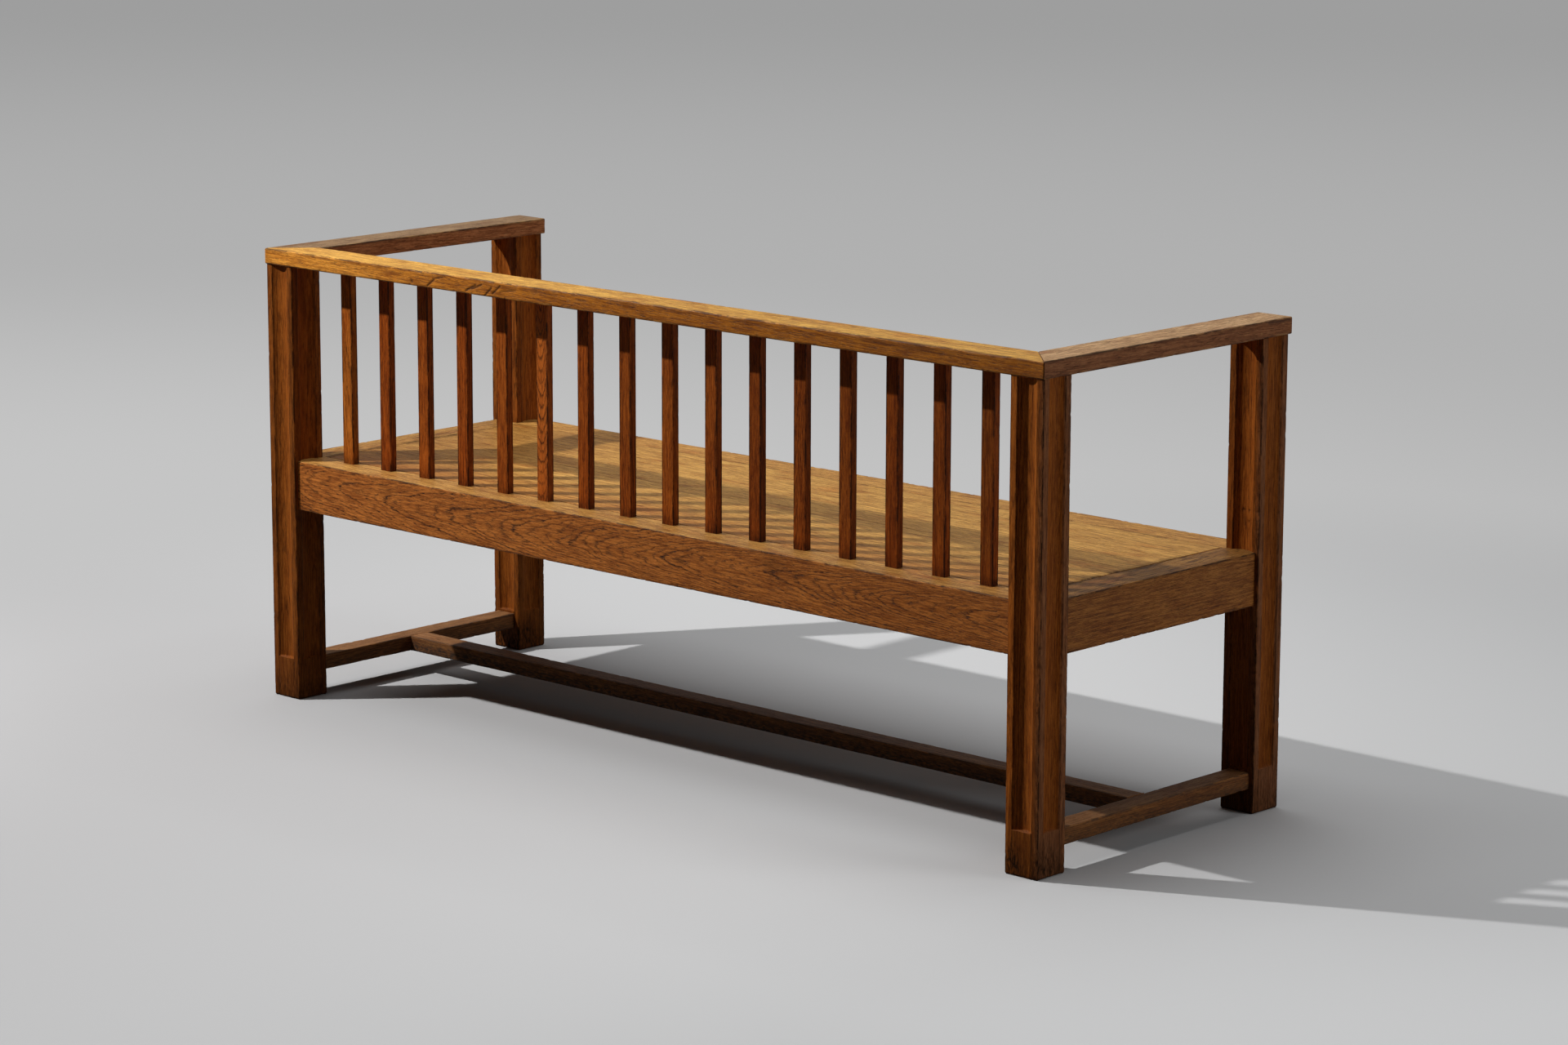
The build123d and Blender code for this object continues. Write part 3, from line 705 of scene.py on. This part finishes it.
def makeTopRail(spec):
    low, high = spanOf("top_rail_back")
    half, back, top, gap = cadBox[1][0] * 1000, high[1], high[2], spec["gap"]
    centre, halves = acrossOf(low, high, 0)
    outerRows = np.arange(*spec["outerRows"])
    section = boxSection(*halves, spec["round"], spec["sectionStep"], marksB=outerRows)
    ends = (lambda y, z: -half + (back - y) + gap, lambda y, z: half - (back - y) - gap)

    def tone(x, y, z):
        # painted light: the sides are darker at the near end and lighter at the far one, nearer the key lamp
        along = spec["nearTone"] + (spec["farTone"] - spec["nearTone"]) * slide(x, *spec["toneSpan"])
        return slide(top - z, *spec["topSpan"]) * along

    def farLitPainted(x, y, z):
        # painted light: the sides grow paler towards the far end, nearer the key lamp
        return spec["farLitPainted"] * slide(x, *spec["farLitSpan"])

    makeStick("top_rail_back", "oak_top_rail", 0, section, centre, ends, dict(spec, sideFaded=farLitPainted),
              spec["log"], spec["seed"], grime=spotsAt(spec["dirt"]), tone=tone, nicks=spec["nicks"],
              marks=np.arange(*spec["nickedRows"]) - ends[0](*centre))
    for number, (node, own) in enumerate(spec["arms"].items()):
        low, high = spanOf(node)
        centre, halves = acrossOf(low, high, 1)
        section = boxSection(*halves, spec["round"], spec["sectionStep"])
        ends = (flatEnd(low[1]), lambda z, x: back - (half - np.abs(x)) - gap)
        makeStick(node, "oak_top_rail", 1, section, centre, ends,
                  dict(spec, rounds=spec["armRounds"], look="oak_arm"),
                  {"pith": own["pith"], "slant": spec["armSlant"]}, spec["armSeed"] + number,
                  tone=topAndSides(top, own["topTone"], own["tone"], spec["topSpan"]),
                  nicks=own.get("nicks", []))


makeTopRail(topWork)
print("top rail made")

# back slats
slatWork = {
    "count": 16, "round": 0.5, "rounds": (0.3, 0.3), "step": 5.0, "sectionStep": 4.0, "tenon": 12.0, "wave": 0.06,
    "arris": 0.12, "chip": 0.25, "chipFrom": 0.5, "seed": 31, "diceSeed": 5,
    "pithAside": (25, 110), "pithBelow": (15, 70), "slants": (0.015, 0.05), "tone": 0.1, "mostFaded": 0.2,
    "nearTone": -0.24, "nearSpan": (-500, 750), "footGrime": 0.75, "footDarkReach": 14,
    # painted shade: the near sides of the slats are darker, except on the slats nearest the near end
    "sidePaintedShade": -0.3, "sideSpan": (-700, -500), "sideSkin": (10.5, 11.7),
    # slats that are cut otherwise than the rest: place of the pith, slant of the cut, tone
    "cut": {11: ((2, -76), (0.0, 0.098), 0.05), 16: ((-28, -60), (0.03, 0.03), 0.15),
            5: ((8, -52), (0.01, 0.07), 0.0), 1: ((-95, -6), (0.005, 0.01), 0.0),
            2: ((-80, 10), (0.01, 0.0), 0.02), 12: ((70, -30), (0.01, 0.03), 0.05)},
    "look": {11: "oak_slat_figured"}, "faded": {16: 0.5, 15: 0.0, 14: 0.1, 13: 0.0, 11: 0.0, 1: 0.25},
    "moreTone": {15: -0.13, 13: -0.06, 9: 0.05, 8: 0.15, 6: -0.07, 2: 0.06},
}


def makeSlats(spec):
    dice = np.random.default_rng(spec["diceSeed"])
    for number in range(1, spec["count"] + 1):
        node = f"back_slat_{number:02d}"
        low, high = spanOf(node)
        foot = low[2] + spec["tenon"]
        centre, halves = acrossOf(low, high, 2)
        section = boxSection(*halves, spec["round"], spec["sectionStep"])
        pith = (dice.choice([-1, 1]) * dice.uniform(*spec["pithAside"]), -dice.uniform(*spec["pithBelow"]))
        slant = [dice.uniform(-most, most) for most in spec["slants"]]
        own = spec["tone"] * dice.uniform(-1, 1)
        pith, slant, own = spec["cut"].get(number, (pith, slant, own))
        faded = spec["faded"].get(number, spec["mostFaded"] * dice.uniform())
        shade = own + spec["moreTone"].get(number, 0) + spec["nearTone"] * slide(-centre[0], *spec["nearSpan"])
        # painted shade on the slats' near sides
        paintedSideShade = spec["sidePaintedShade"] * slide(centre[0], *spec["sideSpan"])
        look = spec["look"].get(number, "oak_slat")
        makeStick(node, "oak_slat", 2, section, centre, (flatEnd(foot), flatEnd(high[2] - spec["tenon"])),
                  dict(spec, look=look, sideFaded=lambda x, y, z: faded + 0 * x), {"pith": pith, "slant": slant},
                  spec["seed"] + number,
                  # darker towards the foot of each slat
                  grime=lambda x, y, z: spec["footGrime"] * bell(z - foot, spec["footDarkReach"]),
                  tone=lambda x, y, z: shade + paintedSideShade * slide(centre[0] - x, *spec["sideSkin"]))


makeSlats(slatWork)
print("slats made")

# seat rails: the long ones run into the posts' flutes, the end ones are notched round them
railWork = {
    "round": 1.5, "rounds": (0.3, 0.3), "step": 3.5, "sectionStep": 4.5, "tenon": 23.0, "play": 0.15,
    "notchStep": 0.2, "wave": 0.2, "arris": 0.3, "chip": 0.8, "chipFrom": 0.38, "topSpan": (1, 4),
    "long": {"seat_rail_back": {"seed": 51, "pith": (-48, 4), "slant": (-0.05, 0.002)},
             "seat_rail_front": {"seed": 52, "pith": (48, 4), "slant": (0.05, 0.002)}},
    "knots": [((-310, 290, 395), (22, 12, 9), 0.55), ((560, 290, 392), (20, 12, 8), 0.4),
              ((-30, 290, 388), (12, 12, 6), 0.35)],
    "endSlant": (0.012, 0.0), "endSideFaded": 0.2, "endDirtSpread": 7.0,
    "ends": {"seat_rail_left": {"seed": 53, "pith": (-190, 25), "tone": -0.22, "topTone": -0.48, "faded": 0.75,
                                "dirtSeed": 57},
             "seat_rail_right": {"seed": 54, "pith": (-190, -25), "tone": -0.1, "topTone": -0.22, "faded": 1.0,
                                 "dirtSeed": 58}},
}
jointWork = {"place": 779.8, "brokenCell": 30.0, "brokenGain": 1.2, "swayCell": 15.0, "sway": 4,
             "cleanSpan": (60, 170)}


def jointDirt(seed, spread):
    # dirt along the joint between boards and end rail: a bell across it times a noise along it, clean in front
    def strength(x, y, z):
        place = np.stack([x, y, z], axis=-1)
        broken = 1.0 + jointWork["brokenGain"] * softNoise(place, jointWork["brokenCell"], seed)
        sway = jointWork["sway"] * softNoise(place, jointWork["swayCell"], seed)
        across = bell(np.abs(x) - jointWork["place"] + sway, spread)
        return across * np.clip(broken, 0, 1) * (1 - slide(-y, *jointWork["cleanSpan"]))
    return strength


def makeSeatRails(spec):
    flute, tenon, step = postWork["flute"], spec["tenon"], spec["notchStep"]
    postX = acrossOf(*spanOf("post_back_right"), 2)[0][0]
    for node, own in spec["long"].items():
        low, high = spanOf(node)
        postY = acrossOf(*spanOf(node.replace("seat_rail", "post") + "_right"), 2)[0][1]
        centre, halves = acrossOf(low, high, 0)
        section = boxSection(*halves, spec["round"], spec["sectionStep"])
        reach = high[0] - tenon
        ends = (lambda y, z: -reach - fluteDepth(y - postY, flute),
                lambda y, z: reach + fluteDepth(y - postY, flute))
        makeStick(node, "oak_seat_rail", 0, section, centre, ends, spec, own, own["seed"],
                  grime=spotsAt(spec["knots"]))
    notch = (spanOf("seat_rail_front")[1][1] + spec["play"], spanOf("seat_rail_back")[0][1] - spec["play"])

    def scribedEnd(inNotch, shoulder, way):
        # inside, the rail ends in its notch on the long rail; outside, it follows the flute past its shoulder
        return lambda z, x: np.where(np.abs(x) < reach + step / 2, inNotch,
                                     shoulder + way * fluteDepth(np.abs(x) - postX, flute))

    for node, own in spec["ends"].items():
        low, high = spanOf(node)
        centre, halves = acrossOf(low, high, 1)
        side = np.sign(centre[1])
        marks = side * (reach - centre[1] * side + np.array([0, step]))
        section = boxSection(*halves, spec["round"], spec["sectionStep"], marksB=marks)
        ends = (scribedEnd(notch[0], low[1] + tenon, -1), scribedEnd(notch[1], high[1] - tenon, 1))
        makeStick(node, "oak_seat_rail", 1, section, centre, ends,
                  dict(spec, sideFaded=lambda x, y, z: spec["endSideFaded"] + 0 * x),
                  {"pith": own["pith"], "slant": spec["endSlant"]}, own["seed"], faded=own["faded"],
                  tone=topAndSides(high[2], own["topTone"], own["tone"], spec["topSpan"]),
                  grime=jointDirt(own["dirtSeed"], spec["endDirtSpread"]))


makeSeatRails(railWork)
print("seat rails made")

# seat boards; pith and slant are those of the first board, and what is added from board to board
boardWork = {
    "count": 4, "round": 0.3, "rounds": (0.3, 0.3), "step": 5.0, "sectionStep": 7.0, "tongue": 5.4, "wave": 0.2,
    "arris": 0.1, "chip": 0.15, "chipFrom": 0.6, "edgeShown": 0.35, "seed": 61,
    "pith": np.array([[15, -70], [-12, -14]]), "slant": np.array([[0.01, 0.012], [0, -0.008]]),
    "farTone": -0.28, "farSpan": (250, 760), "nearTone": 0.02, "nearSpan": (200, 700),
    "backKept": 0.55, "backSpan": (80, 220), "farKept": 0.3, "keptSpan": (250, 700),
    "dirtSeed": 60, "dirtSpread": 9.0,
}


def makeBoards(spec):
    def tone(x, y, z):
        return spec["farTone"] * slide(x, *spec["farSpan"]) + spec["nearTone"] * slide(-x, *spec["nearSpan"])

    def faded(x, y, z):
        # less faded under the top rail and at the far end
        return 1 - spec["backKept"] * slide(y, *spec["backSpan"]) - spec["farKept"] * slide(x, *spec["keptSpan"])

    for number in range(spec["count"]):
        node = f"seat_board_{number + 1}"
        low, high = spanOf(node)
        if number < spec["count"] - 1:
            high[1] -= spec["tongue"]
        centre, halves = acrossOf(low, high, 0)
        section = boxSection(*halves, spec["round"], spec["sectionStep"])
        log = {key: spec[key][0] + number * spec[key][1] for key in ("pith", "slant")}
        makeStick(node, "oak_seat_board", 0, section, centre, (flatEnd(low[0]), flatEnd(high[0])), spec, log,
                  spec["seed"] + number, grime=jointDirt(spec["dirtSeed"], spec["dirtSpread"]), tone=tone,
                  faded=faded)


makeBoards(boardWork)
print("seat boards made")

# stretchers
stretcherWork = {
    "round": 1.5, "rounds": (0.3, 0.3), "step": 4.0, "sectionStep": 4.5, "wave": 0.4, "arris": 0.9, "chip": 1.0,
    "chipFrom": 0.4, "log": {"pith": (30, -45), "slant": (0.01, 0.012)}, "topSpan": (0.8, 3),
    # the stretchers are darker towards the bottom, and the long one darker on its sides than on its top
    "lowDarker": 0.4, "lowSpan": (-62, -48),
    "sticks": {"stretcher_left": {"axis": 1, "tenon": 22.0, "seed": 71, "dirt": 0.3, "topDarkening": 0.3},
               "stretcher_right": {"axis": 1, "tenon": 22.0, "seed": 72, "dirt": 0.3, "topDarkening": 0.3},
               "stretcher_long": {"axis": 0, "tenon": 20.0, "seed": 73, "dirt": 0.6, "topDarkening": 0.0}},
}


def makeStretchers(spec):
    for node, own in spec["sticks"].items():
        low, high = spanOf(node)
        axis = own["axis"]
        centre, halves = acrossOf(low, high, axis)
        section = boxSection(*halves, spec["round"], spec["sectionStep"])
        # darker on the sides than on the top, and towards the bottom
        upper = topAndSides(high[2], own["topDarkening"], own["dirt"], spec["topSpan"])
        ends = (flatEnd(low[axis] + own["tenon"]), flatEnd(high[axis] - own["tenon"]))
        makeStick(node, "oak_stretcher", axis, section, centre, ends, spec, spec["log"], own["seed"],
                  grime=lambda x, y, z: upper(x, y, z) + spec["lowDarker"] * slide(-z, *spec["lowSpan"]))


makeStretchers(stretcherWork)
print("stretchers made")

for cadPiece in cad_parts.values():
    if not cadPiece.hide_render:
        cadPiece.data.materials.clear()
        cadPiece.data.materials.append(oak["oak_inside"])


# floor and backdrop: one very large floor, pale near the settle and a little darker far away
stageWork = {
    "reach": 90.0, "innerRings": (0.01, 0.5), "rings": 24, "turnStep": 5,
    "near": (197, 197, 197), "mid": (177, 177, 177), "far": (158, 158, 158), "sky": (156, 156, 156),
    "middle": (-0.45, 0.1, 0), "blendSpan": (1.7, 2.9), "farMiddle": (1.5, 1.0, 0), "midSpan": (2.0, 5.6),
    "farSpan": (5.0, 14.0), "underKey": (183, 183, 184), "pastKey": (236, 237, 238), "keySpan": (1.4, 3.43),
    "bounce": (100, 100, 100),
}
lightWork = {
    "keyPlace": (2.071, 1.687, 2.573), "keyPower": 345.0, "keyRadius": 0.04, "keyColour": (1.0, 0.99, 0.98),
    "overPlace": (0.9, -0.33, 4.2), "overAim": (0.9, -0.33, 0), "overPower": 88.0, "overSize": 4.5, "world": 0.03,
    "floorPower": 262.0, "floorAim": (-3.98, 0.23, 0), "floorCone": 33.7, "floorBlend": 1.0,
    "sidePlace": (-3.8, -1.2, 1.2), "sideAim": (-0.85, 0, 0.4), "sidePower": 24.0, "sideSize": 1.6,
}


def raysOf(tree):
    # the kinds of ray, and 1 for those that show a surface to the camera, straight, mirrored or through glass
    ray = addNode(tree, "LightPath").outputs
    mirrored = calc(tree, "MAXIMUM", ray["Is Glossy Ray"], ray["Is Transmission Ray"])
    return ray, calc(tree, "MAXIMUM", ray["Is Camera Ray"], mirrored)


def makeFloor(spec):
    # a disc: rings at growing radii, closed round, heights zero
    innermost, first = spec["innerRings"]
    radii = np.concatenate([[innermost], np.geomspace(first, spec["reach"], spec["rings"])])[:, None]
    turn = np.radians(np.arange(0, 360, spec["turnStep"]))
    points = np.stack(np.broadcast_arrays(radii * np.cos(turn), radii * np.sin(turn), 0.0), axis=-1)
    index = np.arange(radii.size * turn.size).reshape(radii.size, turn.size)
    following = np.roll(index, -1, axis=1)
    quads = np.stack([index[:-1], index[1:], following[1:], following[:-1]], axis=-1).reshape(-1, 4)
    mesh = bpy.data.meshes.new("floor")
    mesh.from_pydata(points.reshape(-1, 3).tolist(), [], quads.tolist() + [index[0].tolist()])
    floor = bpy.data.objects.new("floor", mesh)
    scene.collection.objects.link(floor)
    material = bpy.data.materials.new("floor")
    material.use_nodes = True
    tree = material.node_tree
    tree.nodes.clear()
    place = addNode(tree, "TexCoord").outputs["Object"]

    def awayFrom(point, span):
        # 0 nearer to the point than the span, 1 farther away
        distance = addNode(tree, "VectorMath", {0: place, 1: point}, operation="DISTANCE").outputs["Value"]
        return rise(tree, distance, *span)

    near, mid, far, underKey, pastKey, bounce = [
        linear(*spec[key]) for key in ("near", "mid", "far", "underKey", "pastKey", "bounce")]
    distant = blendColour(tree, awayFrom(spec["farMiddle"], spec["farSpan"]), mid, far)
    distant = blendColour(tree, awayFrom(spec["farMiddle"], spec["midSpan"]), near, distant)
    # the paper is a little darker under the key light, and gives back little light to the settle
    keyX, keyY, _ = lightWork["keyPlace"]
    tint = blendColour(tree, awayFrom((keyX, keyY, 0), spec["keySpan"]), underKey, pastKey)
    ray, shown = raysOf(tree)
    tint = blendColour(tree, ray["Is Diffuse Ray"], tint, bounce)
    paper = addNode(tree, "BsdfDiffuse", {"Color": tint}).outputs[0]
    glow = addNode(tree, "Emission", {"Color": distant, "Strength": shown}).outputs[0]
    share = awayFrom(spec["middle"], spec["blendSpan"])
    surface = addNode(tree, "MixShader", {0: share, 1: paper, 2: glow}).outputs[0]
    addNode(tree, "OutputMaterial", {"Surface": surface})
    mesh.materials.append(material)


makeFloor(stageWork)


# light: one small hard key on the right, beyond the back, a broad soft one overhead, a weaker soft one
# from the left end, and one on the floor alone
def addLight(name, kind, place, power, aim=None, **settings):
    lamp = bpy.data.lights.new(name, kind)
    lamp.energy = power
    for key, value in settings.items():
        setattr(lamp, key, value)
    holder = bpy.data.objects.new(name, lamp)
    holder.location = place
    if aim is not None:
        holder.rotation_mode = "QUATERNION"
        holder.rotation_quaternion = (Vector(aim) - Vector(place)).to_track_quat("-Z", "Y")
    scene.collection.objects.link(holder)
    return holder


def makeLight(spec):
    addLight("keyLight", "POINT", spec["keyPlace"], spec["keyPower"], shadow_soft_size=spec["keyRadius"],
             color=spec["keyColour"])
    addLight("overheadLight", "AREA", spec["overPlace"], spec["overPower"], aim=spec["overAim"], shape="SQUARE",
             size=spec["overSize"])
    addLight("sideLight", "AREA", spec["sidePlace"], spec["sidePower"], aim=spec["sideAim"], shape="SQUARE",
             size=spec["sideSize"])
    floorLight = addLight("floorLight", "SPOT", spec["keyPlace"], spec["floorPower"], aim=spec["floorAim"],
                          shadow_soft_size=spec["keyRadius"], spot_size=math.radians(spec["floorCone"]),
                          spot_blend=spec["floorBlend"])
    lit = bpy.data.collections.new("litFloor")
    lit.objects.link(bpy.data.objects["floor"])
    floorLight.light_linking.receiver_collection = lit
    world = bpy.data.worlds.new("studio")
    scene.world = world
    world.use_nodes = True
    tree = world.node_tree
    tree.nodes.clear()
    dim = (spec["world"], spec["world"], spec["world"], 1)
    grey = blendColour(tree, raysOf(tree)[1], dim, linear(*stageWork["sky"]))
    sky = addNode(tree, "Background", {"Color": grey, "Strength": 1.0}).outputs[0]
    addNode(tree, "OutputWorld", {"Surface": sky})


makeLight(lightWork)
scene.view_settings.view_transform = "Standard"
print("floor and light set")
